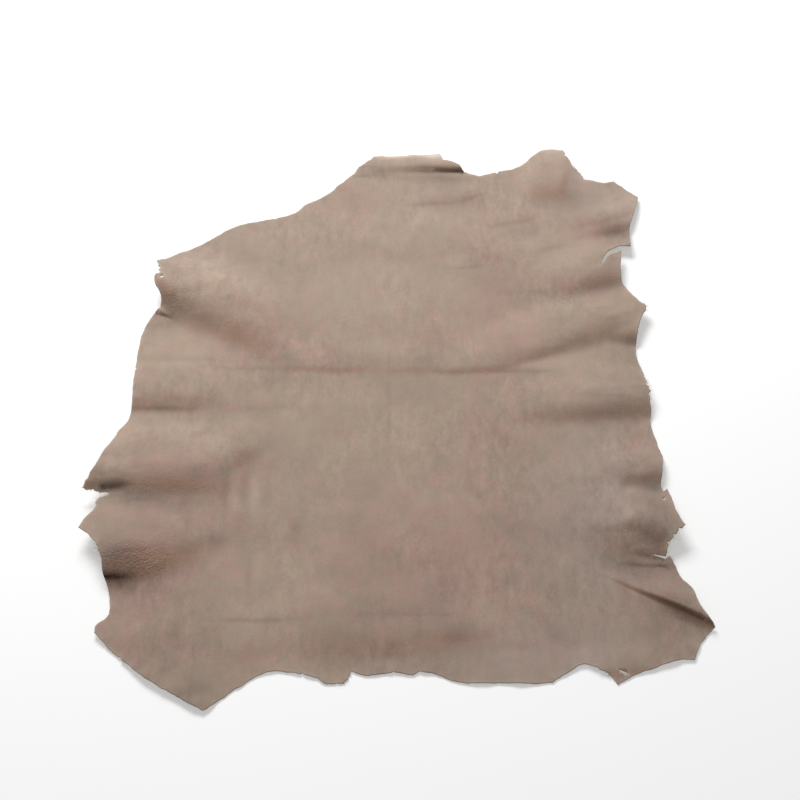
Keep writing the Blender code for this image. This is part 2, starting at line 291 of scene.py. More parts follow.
# the edge's flutter: how far in it is worked out, how fast it fades, and its two waves' lengths
FLUTTER_REACH = 45.0
FLUTTER_FADE = 11.0
FLUTTER_WAVES = (34.0, 13.0)
SLOPE_STEP = 1.5        # on both sides of a point, to measure its slope
SHADE_TINT_SLOPES = (0.06, 0.38)   # slopes down to the butt, away from the key light, over which the warm painted shade comes in
RIM_FADE = 1.3          # how far in from the edge the leather is paler
RUFFLED_LIFT = 9.0      # leather lifted this far, or this near to the edge, is finely wrinkled
RUFFLE_FADE = 22.0


# ---------------------------------------------------------------- colour

Patch = namedtuple("Patch", "across along across_half along_half strength")

GREYS = table(
    Patch,
    # middle, half sizes, strength of the cooler grey
    (250, -190, 90, 130, 0.78),   # right hind quarter
    (300, -60, 60, 110, 0.28),
    (180, -380, 110, 40, 0.8),
    (-296, 240, 60, 30, 0.4),     # left shoulder
    (290, 350, 60, 50, 0.5),
    (0, 330, 330, 130, 0.2),      # neck and shoulders
)

BARE_AND_HIGHLIGHT = table(
    Patch,
    # middle, half sizes, strength of the bare pale leather where the nap is gone, and on the
    # neck's lip also a painted highlight where its top catches the light
    (12, 430, 62, 5, 1.0),        # rim of the neck's lip
    (52, 427, 14, 9, 0.8),
    (230, 438, 34, 5, 0.5),
    (276, 392, 16, 9, 0.6),
    (356, -220, 8, 16, 0.6),      # torn hind flank
    (344, -249, 26, 2.5, 0.5),
    (-346, 206, 8, 14, 0.5),      # left shoulder
    (-344, 150, 9, 5, 0.55),
    (-396, -146, 10, 12, 0.5),
    (110, 396, 24, 5, 0.4),
)

PEBBLES = table(
    Patch,
    # middle, half sizes, strength of the coarser pebbled grain
    (-356, -250, 40, 20, 3.2),    # left hind flank
    (-330, -140, 60, 14, 0.5),    # left belly
    (-318, 165, 34, 18, 1.3),     # left shoulder
    (-262, -92, 40, 16, 0.6),
)

LESS_SHADE_TINT = table(
    Patch,
    # middle, half sizes, share of the warm painted shade on the folds' shaded sides that is taken
    # off here
    (260, 45, 150, 110, 0.95),      # right flank
    (340, -130, 50, 40, 0.4),       # right belly
    (-376, -146, 34, 22, 0.5),      # left belly, at the edge
    (-276, 148, 92, 50, 0.85),      # left shoulder
    (-300, -10, 110, 44, 0.65),     # left flank
    (300, -226, 80, 50, 0.6),       # right hind flank
    (6, 408, 66, 16, 0.8),          # lip of the neck
)

BLUSHES = table(
    Patch,
    # middle, half sizes, strength of the pink
    # left hind flank and belly
    (-322, -268, 62, 52, 0.95), (-300, -170, 80, 80, 0.62), (-253, -112, 55, 34, 0.55),
    (-236, -190, 34, 60, 0.4),
    # rump
    (74, -258, 50, 48, 0.95), (0, -225, 95, 85, 0.62), (118, -215, 70, 80, 0.5),
    (-70, -310, 80, 50, 0.45), (60, -352, 62, 44, 0.42), (176, -378, 26, 22, 0.5),
    # right side of the neck, and right shoulder
    (237, 374, 24, 24, 0.8), (288, 290, 44, 22, 0.75), (272, 184, 50, 16, 0.85),
    # right of the backbone
    (142, 160, 52, 90, 0.62), (168, 90, 40, 42, 0.42), (100, -62, 26, 92, 0.5),
    (142, -66, 32, 56, 0.5),
    # neck
    (60, 345, 70, 18, 0.24), (128, 290, 40, 60, 0.18), (-74, 338, 30, 42, 0.5),
    # left shoulder and flank
    (-238, 124, 56, 34, 0.42), (-126, 76, 44, 46, 0.42), (-287, -12, 70, 14, 0.45),
    # right flank and hind flank
    (323, -82, 26, 44, 0.48), (321, -288, 46, 42, 0.45),
    # left shoulder, left thigh and butt
    (-330, 196, 24, 26, 0.35), (-330, -330, 60, 60, 0.5), (-200, -378, 150, 22, 0.5),
    (146, -305, 50, 26, 0.5),
    # left belly and back
    (-187, -111, 26, 26, 0.5), (-192, 84, 40, 24, 0.66), (56, 105, 60, 40, 0.4),
    (138, 32, 26, 26, 0.4),
    # small ones over the hind quarters
    (-144, -205, 24, 20, 0.45), (-65, -223, 34, 24, 0.4), (-345, -250, 26, 28, 0.5),
    (330, -340, 40, 50, 0.25), (345, -160, 30, 30, 0.3),
)

MARKS_AND_SHADE = table(
    Patch,
    # middle, half sizes, strength: above 0 is darker, below 0 is paler; real stains and wear, and
    # painted shade and highlights where the light falls on the folds
    # small worn spots
    (56, -106, 11, 18, 0.7), (-136, -196, 10, 17, 0.9), (-243, -216, 12, 10, 0.75),
    (-213, -92, 12, 12, 0.7), (-150, -172, 12, 8, 0.4),
    # smoothed streaks on the left belly
    (-232, -146, 5, 34, 0.75), (-219, -150, 5, 36, -0.7), (-206, -144, 6, 32, 0.7),
    (-193, -150, 7, 34, -0.75), (-176, -148, 6, 34, 0.65), (-205, -178, 14, 10, 0.35),
    # backbone
    (-15, -10, 2.5, 120, 0.45),
    # smoothed streaks on the rump
    (103, -288, 7, 36, -0.6), (-186, -268, 8, 26, -0.6), (-196, -264, 4, 28, 0.5),
    # faint straight marks over the rump
    (-182, -331, 46, 2.8, 0.7), (10, -326, 90, 2.6, 0.4),
    # healed scratches
    (92, -122, 4, 26, 0.55), (128, -158, 26, 5, 0.45), (98, -30, 4, 46, 0.4),
    (70, -20, 4, 40, 0.3), (114, -84, 5, 34, -0.35),
    # stains on the rump
    (78, -352, 13, 12, 0.6), (196, -348, 12, 12, 0.6), (150, -366, 16, 9, 0.45),
    (24, -352, 14, 9, 0.5), (136, -330, 20, 12, -0.35),
    # paler handled areas
    (-60, -60, 60, 50, -0.3), (-120, -255, 60, 60, -0.34), (-90, -20, 70, 24, -0.22),
    (-330, 100, 60, 60, -0.15), (0, 235, 60, 50, -0.25),
    # painted shade where the light falls off over the hind quarters and butt, and a darker band on
    # the neck
    (200, -240, 80, 110, 0.36), (296, -150, 70, 130, 0.34), (330, -225, 40, 44, 0.4),
    (0, -385, 130, 26, 0.42), (250, -350, 90, 44, 0.3), (40, 374, 60, 16, 0.26),
    # neck's lip paler: bare rim, with a painted highlight where its top catches the light
    (10, 428, 64, 6, -1.0),
    # painted shade in the hollows and on the folds' shaded sides, and a few painted highlights
    (330, 20, 40, 120, 0.2), (140, -64, 50, 56, 0.4), (300, -126, 36, 30, 0.6),
    (318, -218, 30, 30, 0.4), (50, -292, 110, 50, 0.36), (-322, -262, 60, 60, 0.45),
    (-290, -136, 80, 26, 0.3), (330, -248, 44, 22, 0.5), (345, -330, 42, 64, 1.6),
    (335, -145, 30, 24, 0.7), (-335, -285, 44, 26, 1.3), (51, -290, 34, 24, 1.4),
    (-45, -300, 60, 40, 1.0), (-300, -164, 60, 20, 1.1), (248, 345, 40, 18, 1.2),
    (262, 180, 42, 20, 1.6), (198, -18, 30, 26, 0.6), (-150, 40, 60, 34, 0.7),
    (223, 79, 36, 22, -0.6), (138, 78, 24, 24, 0.5), (138, -62, 24, 24, 0.5),
    (-338, -78, 36, 22, 1.25), (-255, -118, 42, 18, 0.95), (-200, -203, 40, 22, 0.5),
    (-63, -203, 24, 20, 0.6), (200, -206, 50, 24, 0.7), (317, 284, 29, 19, 2.95),
    (294, 192, 30, 14, 1.5), (308, -262, 32, 18, 1.1), (182, 44, 34, 8, 0.9),
    (-190, 78, 40, 16, 0.7), (-240, 124, 34, 22, 0.5), (-366, -286, 26, 14, 1.1),
    (-250, 236, 60, 26, 0.45), (51, -332, 40, 22, 0.6), (-230, -374, 110, 20, 0.7),
    (-25, -374, 26, 16, 0.5), (200, -345, 30, 36, 0.6), (64, 344, 60, 22, 0.9),
    (-70, 330, 26, 34, 0.7), (183, 294, 24, 24, 0.7), (-68, -25, 26, 22, 0.5),
    (310, -160, 40, 18, 0.9), (130, -190, 30, 50, 0.45), (5, -245, 50, 30, 0.5),
    (58, 294, 40, 24, -0.5), (-30, 82, 36, 20, -0.55), (338, -106, 24, 20, 1.2),
    (318, 62, 28, 16, 1.0), (324, 92, 20, 12, 1.2), (268, 40, 60, 16, 0.5),
    (324, -208, 22, 18, 1.35), (350, -200, 16, 26, 0.8), (256, -206, 26, 20, 0.8),
    (134, 250, 34, 24, 0.45), (288, 238, 26, 18, 0.9), (288, -246, 22, 18, 0.9),
    (-352, -154, 36, 18, 1.6), (-367, -249, 28, 22, 2.45), (-322, 132, 26, 16, 1.2),
    (54, 428, 12, 9, -0.8), (170, 30, 44, 18, 0.5), (170, 180, 60, 40, 0.35),
    (285, 312, 36, 16, 1.2),
    # right belly: painted shade below its crease
    (335, -141, 18, 11, 2.1),
    # tip over the left notch: painted shade
    (-402, -127, 14, 10, 1.6),
    # shaded leather under the neck's lip
    (30, 391, 52, 9, 1.1), (72, 388, 32, 9, 1.2), (-34, 399, 22, 12, 1.8),
    # right flank: a paler patch that eases the painted shade on its fold
    (280, 104, 22, 10, -1.0),
    # left shoulder: painted shade on its fold, with a paler patch just above
    (-325, 158, 24, 12, 1.0), (-332, 182, 16, 10, -0.9),
    # painted shade along the edge of the left shank
    (-334, -384, 22, 14, 1.1), (-300, -403, 26, 16, 1.6), (-256, -428, 28, 18, 1.9),
)

Pinch = namedtuple("Pinch", "start end half first last")

PINCH_SHADOWS = table(
    Pinch,
    # start, end, half width, strength at the start and at the end: thin painted shadows along the
    # pressed creases
    ((311, -291), (392, -335), 2.0, 0.6, 4.0),    # right thigh
    ((318, -242), (342, -246), 1.6, 0.8, 2.6),    # at the right hind tear
    ((334, -253), (347, -258), 1.8, 1.2, 1.6),
    ((52, 402), (93, 401), 2.9, 0.9, 4.6),        # under the lip of the neck
    ((-27, 408), (-60, 412), 1.5, 0.4, 1.4),
    ((-48, 391), (-67, 393), 1.5, 0.6, 1.2),
    ((-338, -271), (-382, -273), 3.8, 0.0, 4.8),  # left hind flank
    ((-350, -142), (-392, -146), 4.9, 0.0, 4.6),  # left belly
    ((-321, 134), (-341, 146), 1.5, 1.2, 2.2),    # left nick
    ((-318, 139), (-336, 147), 1.4, 0.8, 1.2),
)


# ---------------------------------------------------------------- settings

FLOOR_REACH = 6.0       # metres from the middle to the floor's sides
FLOOR_LEVEL = -0.2 * MM
FLOOR_GLOW = 0.25       # keeps the floor's shadows pale
KEY_PLACE = (-0.7, 2.3, 1.75)
KEY_SIZE = (1.6, 1.0)
SENSOR = 36.0           # millimetres across


class HideSizes(bpy.types.PropertyGroup):
    """Sizes of the hide that a user would change."""

    thickness: FloatProperty(
        name="Thickness", description="Thickness of the leather, nap included",
        default=1.2 * MM, min=0.0005, max=0.004, unit="LENGTH",
    )
    net_pitch: FloatProperty(
        name="Net Pitch", description="Distance between neighbouring points of the sheet",
        default=4.75 * MM, min=0.003, max=0.02, unit="LENGTH",
    )
    edge_step: FloatProperty(
        name="Edge Step", description="Distance between neighbouring points of the outline",
        default=2.1 * MM, min=0.001, max=0.01, unit="LENGTH",
    )
    edge_wander: FloatProperty(
        name="Edge Wander", description="How far the cut edge wanders off its smooth line",
        default=0.7 * MM, min=0.0, max=0.004, unit="LENGTH",
    )
    flutter: FloatProperty(
        name="Edge Flutter", description="How far short stretches of the edge stand off the floor",
        default=2.2 * MM, min=0.0, max=0.01, unit="LENGTH",
    )
    wave_height: FloatProperty(
        name="Wave Height", description="Height of the slack waves all over the sheet",
        default=1.1 * MM, min=0.0, max=0.005, unit="LENGTH",
    )
    wrinkle_height: FloatProperty(
        name="Wrinkle Height", description="Height of the fine wrinkles on the folds",
        default=0.7 * MM, min=0.0, max=0.004, unit="LENGTH",
    )
    fibre_length: FloatProperty(
        name="Fibre Length", description="Length of the loose fibres along torn edges",
        default=2.2 * MM, min=0.0005, max=0.01, unit="LENGTH",
    )
    fibre_spacing: FloatProperty(
        name="Fibre Spacing", description="Distance between neighbouring loose fibres",
        default=1.5 * MM, min=0.0005, max=0.02, unit="LENGTH",
    )
    seed: IntProperty(
        name="Seed", description="Picks another scatter of waves, wrinkles and fibres",
        default=7, min=0, max=1000,
    )


class HideColours(bpy.types.PropertyGroup):
    """Colours of the leather that a user would change."""

    nap: FloatVectorProperty(
        name="Nap", description="Napped side of the leather",
        default=(0.388, 0.298, 0.229), subtype="COLOR", min=0.0, max=1.0,
    )
    blush: FloatVectorProperty(
        name="Blush", description="Pinkish patches on the napped side",
        default=(0.430, 0.285, 0.234), subtype="COLOR", min=0.0, max=1.0,
    )
    grey: FloatVectorProperty(
        name="Grey", description="Cooler greyish areas on the napped side",
        default=(0.398, 0.308, 0.262), subtype="COLOR", min=0.0, max=1.0,
    )
    steep: FloatVectorProperty(
        name="Shaded Sides", description="Warm painted shade on the sides of folds that face away from the key light",
        default=(0.456, 0.284, 0.202), subtype="COLOR", min=0.0, max=1.0,
    )
    flesh: FloatVectorProperty(
        name="Flesh Side", description="Loose fibrous underside",
        default=(0.47, 0.40, 0.33), subtype="COLOR", min=0.0, max=1.0,
    )
    cut: FloatVectorProperty(
        name="Cut Edge", description="Bare leather where the hide was cut or torn",
        default=(0.50, 0.42, 0.35), subtype="COLOR", min=0.0, max=1.0,
    )


class StudioSettings(bpy.types.PropertyGroup):
    """Floor, light and camera."""

    floor: FloatVectorProperty(
        name="Floor", description="Plain pale floor",
        default=(0.88, 0.88, 0.88), subtype="COLOR", min=0.0, max=1.0,
    )
    key_power: FloatProperty(
        name="Key Light", description="Power of the large light behind the neck, in watts",
        default=90.0, min=0.0, max=2000.0,
    )
    sky: FloatProperty(
        name="Soft Fill", description="Strength of the even light from all round",
        default=0.35, min=0.0, max=5.0,
    )
    elevation: FloatProperty(
        name="Camera Elevation", description="Angle of the camera above the floor",
        default=math.radians(58.0), min=0.1, max=1.57, subtype="ANGLE",
    )
    distance: FloatProperty(
        name="Camera Distance", description="From the middle of the hide to the camera",
        default=2.4, min=0.5, max=20.0, unit="LENGTH",
    )
    lens: FloatProperty(
        name="Lens", description="Focal length of the camera, in millimetres",
        default=78.75, min=20.0, max=300.0,
    )


# ---------------------------------------------------------------- outline and net

def smooth_step(start, end, value):
    """Smooth step from 0 at start to 1 at end, for arrays too."""
    t = np.clip((value - start) / (end - start), 0.0, 1.0)
    return t * t * (3.0 - 2.0 * t)


def waves(spots, length, place):
    """A smooth random number of about 0 at each point, that comes and goes over a length."""
    return np.array([noise.noise(Vector((x / length, y / length, place))) for x, y in spots])


def closeness(spots, middle, reach, power):
    """1 at a table row's place, and less away from it: a third at its reach."""
    away = np.hypot(spots[:, 0] - middle.across, spots[:, 1] - middle.along) / reach
    return np.exp(-away ** power)


def handle_direction(before, here, after):
    """Direction of the edge at a point: along its neighbours' chord on a curve."""
    if here.turn == CORNER:
        return None
    return Vector((after.across - before.across, after.along - before.along)).normalized()


def smooth_outline(step):
    """The four edge tables as one closed line in millimetres, clockwise from above."""
    marks = NECK_EDGE + RIGHT_EDGE + BUTT_EDGE + LEFT_EDGE
    count = len(marks)
    spots = [Vector((mark.across, mark.along)) for mark in marks]
    ways = [handle_direction(marks[i - 1], marks[i], marks[(i + 1) % count]) for i in range(count)]
    points = []
    for i, start in enumerate(spots):
        end = spots[(i + 1) % count]
        reach = (end - start).length
        chord = (end - start).normalized()
        leave = ways[i] or chord
        arrive = ways[(i + 1) % count] or chord
        run = interpolate_bezier(
            start.to_3d(),
            (start + leave * reach / 3.0).to_3d(),
            (end - arrive * reach / 3.0).to_3d(),
            end.to_3d(),
            max(1, round(reach / step)) + 1,
        )
        points.extend((point.x, point.y) for point in run[:-1])
    return np.array(points)


def outline_middle():
    """Middle of the solid's outline in table millimetres, which is the model's zero."""
    line = smooth_outline(SOLID_EDGE_STEP)
    return 0.5 * (line.min(axis=0) + line.max(axis=0))


def outward_of(line):
    """Outward unit direction at each point of a closed clockwise line."""
    run = np.roll(line, -1, axis=0) - np.roll(line, 1, axis=0)
    run /= np.maximum(np.linalg.norm(run, axis=1, keepdims=True), 1e-9)
    return np.column_stack((-run[:, 1], run[:, 0]))


def torn_outline(step, stray, seed):
    """The outline with its natural wander, torn teeth and small nicks."""
    line = smooth_outline(step)
    slow, quick, teeth = (waves(line, length, seed + place) for length, place in EDGE_WAVES)
    bite = np.max([part.bite * closeness(line, part, part.reach, 4) for part in RAGGED], axis=0)
    shift = stray * (1.3 * slow + 0.9 * quick) + bite * (0.9 * quick + 1.1 * teeth - 0.2)
    for nick in NICKS:
        shift -= nick.depth * closeness(line, nick, nick.half, 2)
    return line + outward_of(line) * calm_near_slits(line)[:, None] * shift[:, None]


def calm_near_slits(line):
    """Share of the wander that a point may have: little where two edges lie close together."""
    count = len(line)
    share = np.ones(count)
    for i, point in enumerate(line):
        apart = np.abs(np.arange(count) - i)
        apart = np.minimum(apart, count - apart)
        gap = np.linalg.norm(line - point, axis=1)[apart > SLIT_POINTS].min()
        share[i] = min(1.0, max(0.05, (gap - SLIT_SHUT) / SLIT_OPEN))
    return share


def hole_line(hole, seed):
    """A small torn hole as a closed, uneven line."""
    turn = math.radians(hole.turn)
    count = max(8, round(2.4 * hole.long_half + 6))
    angles = 2.0 * math.pi * np.arange(count) / count
    ring = np.column_stack((np.cos(angles), np.sin(angles)))
    uneven = 1.0 + HOLE_UNEVEN * waves(ring, 0.5, seed)
    long_way = hole.long_half * uneven * ring[:, 0]
    short_way = hole.short_half * uneven * ring[:, 1]
    return np.column_stack((
        hole.across + long_way * math.cos(turn) - short_way * math.sin(turn),
        hole.along + long_way * math.sin(turn) + short_way * math.cos(turn),
    ))


def in_chunks(measure, points):
    """Measure all the points, some at a time."""
    return np.concatenate([
        measure(points[first:first + CHUNK]) for first in range(0, len(points), CHUNK)
    ])


def inside_line(points, line):
    """True for each point inside a closed line."""
    end = np.roll(line, -1, axis=0)
    rise = end[:, 1] - line[:, 1]
    rise = np.where(rise == 0.0, 1e-12, rise)

    def measure(some):
        spans = (line[:, 1] > some[:, 1:2]) != (end[:, 1] > some[:, 1:2])
        meets = line[:, 0] + (end[:, 0] - line[:, 0]) * (some[:, 1:2] - line[:, 1]) / rise
        return (spans & (some[:, 0:1] < meets)).sum(axis=1) % 2 == 1

    return in_chunks(measure, points)


def line_distance(points, line):
    """Distance from each point to the nearest stretch of a closed line."""
    run = np.roll(line, -1, axis=0) - line
    square = np.maximum((run ** 2).sum(axis=1), 1e-12)

    def measure(some):
        offset = some[:, None, :] - line[None, :, :]
        share = np.clip((offset * run).sum(axis=2) / square, 0.0, 1.0)
        return np.linalg.norm(offset - share[:, :, None] * run, axis=2).min(axis=1)

    return in_chunks(measure, points)


def net_points(line, pitch):
    """Inner points of the sheet: two rings that follow the edge, then staggered rows."""
    outward = outward_of(line)
    kept = []
    for depth, every in RINGS:
        ring = (line - outward * depth)[::every]
        clear = line_distance(ring, line) > 0.86 * depth
        kept.append(ring[clear & inside_line(ring, line)])
    low, high = line.min(axis=0), line.max(axis=0)
    row_pitch = pitch * math.sqrt(3.0) / 2.0
    rows = np.arange(low[1], high[1], row_pitch)
    columns = np.arange(low[0], high[0], pitch)
    spots = np.array([
        (column + 0.5 * pitch * (i % 2), row) for i, row in enumerate(rows) for column in columns
    ])
    between = np.concatenate([
        spots + (across * pitch, along * row_pitch)
        for across, along in ((0.5, 0.0), (0.25, 0.5), (-0.25, 0.5))
    ])
    spots = np.concatenate((spots, between[near_pleat(between)]))
    for pinch in PINCH_SHADOWS:
        t, side = axis_place(pinch, spots)
        spots = spots[(np.abs(side) > PINCH_CLEAR) | (np.abs(t - 0.5) > 0.5)]
    spots = np.concatenate((spots, pinch_points()))
    spots = spots[inside_line(spots, line)]
    kept.append(spots[line_distance(spots, line) > RINGS[-1][0] + 0.45 * pitch])
    return np.concatenate(kept)


def pinch_points():
    """Staggered rows of close points on both sides of the thin painted crease shadows."""
    rows = []
    for pinch in PINCH_SHADOWS:
        start = np.array(pinch.start, dtype=float)
        run = np.array(pinch.end, dtype=float) - start
        length = math.hypot(run[0], run[1])
        across = np.array((-run[1], run[0])) / length
        for i, offset in enumerate(PINCH_ROWS):
            steps = np.arange(int(length / PINCH_STEP)) + 0.25 + 0.5 * (i % 2)
            steps = steps * PINCH_STEP / length
            rows.append(start + steps[:, None] * run + offset * across)
    return np.concatenate(rows)


def near_pleat(spots):
    """True for each point close enough to a small sharp pleat to need the closer net."""
    result = np.zeros(len(spots), dtype=bool)
    for pleat in PLEATS + SHARP + WRINKLES:
        if max(pleat.butt_halves) > NARROW:
            continue
        t, side = axis_place(pleat, spots)
        past = np.maximum(np.abs(t - 0.5) - 0.5, 0.0) * math.dist(pleat.start, pleat.end)
        result |= np.hypot(side, past) < 1.7 * max(pleat.butt_halves) + PLEAT_MARGIN
    return result


def sheet_net(line, holes, pitch):
    """Points and upward triangles of the flat sheet in millimetres, holes cut out."""
    inner = net_points(line, pitch)
    for hole in holes:
        inner = inner[line_distance(inner, hole) > HOLE_CLEAR]
        inner = inner[~inside_line(inner, hole)]
    links = []
    first = 0
    for loop in (line, *holes):
        count = len(loop)
        links.extend((first + i, first + (i + 1) % count) for i in range(count))
        first += count
    points = np.concatenate((line, *holes, inner))
    spots, _, triangles, _, _, _ = delaunay_2d_cdt(
        [Vector(point) for point in points.tolist()], links, [], 1, 1e-5,
    )
    spots = np.array([(spot.x, spot.y) for spot in spots])
    triangles = np.array(triangles)
    middles = spots[triangles].mean(axis=1)
    for hole in holes:
        outside = ~inside_line(middles, hole)
        triangles, middles = triangles[outside], middles[outside]
    used, triangles = np.unique(triangles, return_inverse=True)
    return spots[used], facing_up(spots[used], triangles.reshape(-1, 3))


def facing_up(spots, triangles):
    """The triangles, with their corners in the order that makes them face up."""
    a, b, c = (spots[triangles[:, i]] for i in range(3))
    first, second = b - a, c - a
    turn = (first[:, 0] * second[:, 1] - first[:, 1] * second[:, 0]).sum()
    return triangles[:, ::-1] if turn < 0.0 else triangles


# ---------------------------------------------------------------- lie of the sheet

def axis_place(row, spots):
    """Share of the way along a row's line, and distance from that line: positive on its left."""
    start = np.array(row.start, dtype=float)
    run = np.array(row.end, dtype=float) - start
    length = math.hypot(run[0], run[1])
    offset = spots - start
    share = (offset @ run) / length ** 2
    side = (run[0] * offset[:, 1] - run[1] * offset[:, 0]) / length
    return share, side


def fade(t, rise, fall):
    """1 along a line, less over the stretches where it rises from 0 and falls back to it."""
    return smooth_step(*rise, t) * (1.0 - smooth_step(*fall, t))


def fold_lift(fold, spots):
    """Lift of one rounded fold at each point, in millimetres."""
    t, side = axis_place(fold, spots)
    near_neck = (side > 0.0) == (fold.end[0] > fold.start[0])
    along = np.clip(t, 0.0, 1.0)
    neck_half, butt_half = (
        first + (last - first) * along for first, last in (fold.neck_halves, fold.butt_halves)
    )
    half = np.where(near_neck, neck_half, butt_half)
    shoulder = np.where(near_neck, NECK_SHOULDER, BUTT_SHOULDER)
    return fold.rise * np.exp(-np.abs(side / half) ** shoulder) * fade(t, *FADES[fold.ends])


def wander(spots, length):
    """A smooth random shift of about 0 at each point."""
    return np.column_stack([waves(spots, length, place) for place in (2.3, 6.9)])


def sheet_lift(spots, edge_away, flutter, seed):
    """Height of the underside in millimetres: folds, creases and the fluttering edge."""
    total = np.zeros(len(spots))
    for fold in FOLDS + PLEATS:
        total += fold_lift(fold, spots) ** VALLEY_POWER
    lift = total ** (1.0 / VALLEY_POWER)
    for crease in CREASES:
        t, side = axis_place(crease, spots)
        pressed = crease.share * np.exp(-(side / crease.half) ** 2)
        lift *= 1.0 - pressed * fade(t, (-0.15, 0.1), (0.85, 1.15))
    lift -= SETTLE * (1.0 - np.exp(-lift / SETTLE))
    bent = spots + WRINKLE_BEND * wander(spots, WRINKLE_BEND_LENGTH)
    for wrinkle in WRINKLES:
        lift += fold_lift(wrinkle, bent)
    for pleat in SHARP:
        lift += fold_lift(pleat, spots)
    near = np.flatnonzero(edge_away < FLUTTER_REACH)
    long, short = FLUTTER_WAVES
    raised = waves(spots[near], long, seed + 1.7) + 0.5 * waves(spots[near], short, seed + 4.2)
    raised = flutter * np.clip(raised + 0.15, 0.0, None)
    lift[near] += raised * np.exp(-edge_away[near] / FLUTTER_FADE)
    return np.maximum(lift, 0.0)


def steepness(spots, edge_away):
    """Slope of the sheet down towards the butt at each point: 0.2 is 1 in 5."""
    reach = np.array((0.0, SLOPE_STEP))
    ahead, behind = (sheet_lift(spots + way * reach, edge_away, 0.0, 0) for way in (1, -1))
    return (ahead - behind) / (2.0 * SLOPE_STEP)


def patch_mask(patches, spots, blur):
    """Sum of soft, slightly wandering oval patches at each point."""
    shift = wander(spots, PATCH_BEND_LENGTH)
    result = np.zeros(len(spots))
    for patch in patches:
        halves = np.array((patch.across_half, patch.along_half), dtype=float)
        bent = spots + shift * np.minimum(halves, PATCH_BEND_LIMIT) * blur
        away = ((bent - np.array((patch.across, patch.along))) / halves) ** 2
        result += patch.strength * np.exp(-away.sum(axis=1))
    return result


def pinch_shadow_mask(spots):
    """Painted shadow along the thin pressed creases at each point."""
    result = np.zeros(len(spots))
    for pinch in PINCH_SHADOWS:
        t, side = axis_place(pinch, spots)
        strength = pinch.first + (pinch.last - pinch.first) * np.clip(t, 0.0, 1.0)
        strength = strength * fade(t, (-0.2, 0.15), (1.0, 1.2))
        result += strength * np.exp(-(side / pinch.half) ** 2)
    return result


def sheet_numbers(spots, away, lift):
    """What the leather's materials read from the sheet, by name: one number a point."""
    # bare rim round the edge and the listed patches, with a painted highlight on the neck's lip
    bare = 0.7 * np.exp(-away / RIM_FADE) + patch_mask(BARE_AND_HIGHLIGHT, spots, blur=0.3)
    # where the warm painted shade on the shaded sides is taken off
    closed = np.clip(patch_mask(LESS_SHADE_TINT, spots, blur=0.3), 0.0, 1.0)
    lifted = np.clip(lift / RUFFLED_LIFT, 0.0, 1.0)
    return {
        "rim": np.clip(bare, 0.0, 1.0),
        "grey": np.clip(patch_mask(GREYS, spots, blur=0.4), 0.0, 1.0),
        "blush": patch_mask(BLUSHES, spots, blur=0.45),
        # stains and wear, with painted shade and highlights on the folds and painted shadows in
        # the pressed creases
        "mark": patch_mask(MARKS_AND_SHADE, spots, blur=0.2) + pinch_shadow_mask(spots),
        # warm painted shade on the sides that slope down to the butt, away from the key light
        "steep": smooth_step(*SHADE_TINT_SLOPES, steepness(spots, away)) * (1.0 - closed),
        "ruffle": lifted * 0.8 + 0.5 * np.exp(-away / RUFFLE_FADE),
        "pebble": 0.3 + patch_mask(PEBBLES, spots, blur=0.4),
    }


# ---------------------------------------------------------------- node helpers

NODE_GAP = 200          # between neighbouring nodes in the editor
NODES_A_ROW = 8

NUMBER = "NodeSocketFloat"
WHOLE_NUMBER = "NodeSocketInt"
COLOUR = "NodeSocketColor"
VECTOR = "NodeSocketVector"
GEOMETRY = "NodeSocketGeometry"


def feed(tree, node, inputs):
    """Give each named socket its value, or a link if the value is another node's socket."""
    for socket, value in inputs.items():
        if isinstance(value, bpy.types.NodeSocket):
            tree.links.new(value, node.inputs[socket])
        else:
            node.inputs[socket].default_value = value


def new_node(tree, kind, inputs=None, **values):
    """Add a node after the last one, with its inputs fed; keywords are its attributes."""
    row, column = divmod(len(tree.nodes), NODES_A_ROW)
    node = tree.nodes.new(kind)
    node.location = (column * NODE_GAP, -row * NODE_GAP)
    for name, value in values.items():
        setattr(node, name, value)
    feed(tree, node, inputs or {})
    return node


def result_of(tree, kind, inputs=None, **values):
    """The first output of a new node."""
    return new_node(tree, kind, inputs, **values).outputs[0]


def maths(tree, operation, *values):
    """Math nodes that take up the values one after another, as (a - b) - c."""
    made = values[0]
    for value in values[1:] or (0.0,):
        made = result_of(tree, "ShaderNodeMath", {0: made, 1: value}, operation=operation)
    return made


def scaled(tree, value, factor, more):
    """The value times a factor, with more added."""
    inputs = {0: value, 1: factor, 2: more}
    return result_of(tree, "ShaderNodeMath", inputs, operation="MULTIPLY_ADD")


def vector_maths(tree, operation, first, second):
    """One Vector Math node."""
    return result_of(tree, "ShaderNodeVectorMath", {0: first, 1: second}, operation=operation)


def noise_value(tree, vector, pattern):
    """A Noise Texture's value, about 0.5 on average."""
    inputs = {name.capitalize(): value for name, value in pattern._asdict().items()}
    return result_of(tree, "ShaderNodeTexNoise", {"Vector": vector} | inputs)


def centred_noise(tree, vector, pattern):
    """The same, but about 0 on average."""
    return maths(tree, "SUBTRACT", noise_value(tree, vector, pattern), 0.5)


def stretched(tree, vector, scale, turn=0.0):
    """A place for a pattern that is longer one way: the smaller the scale, the longer."""
    inputs = {"Vector": vector, "Scale": scale, "Rotation": (0.0, 0.0, turn)}
    return result_of(tree, "ShaderNodeMapping", inputs)


def ranged(tree, value, low, high, **values):
    """The value moved from the range low = (least, most) to the range high."""
    inputs = dict(zip(("Value", "From Min", "From Max", "To Min", "To Max"), (value, *low, *high)))
    return result_of(tree, "ShaderNodeMapRange", inputs, **values)


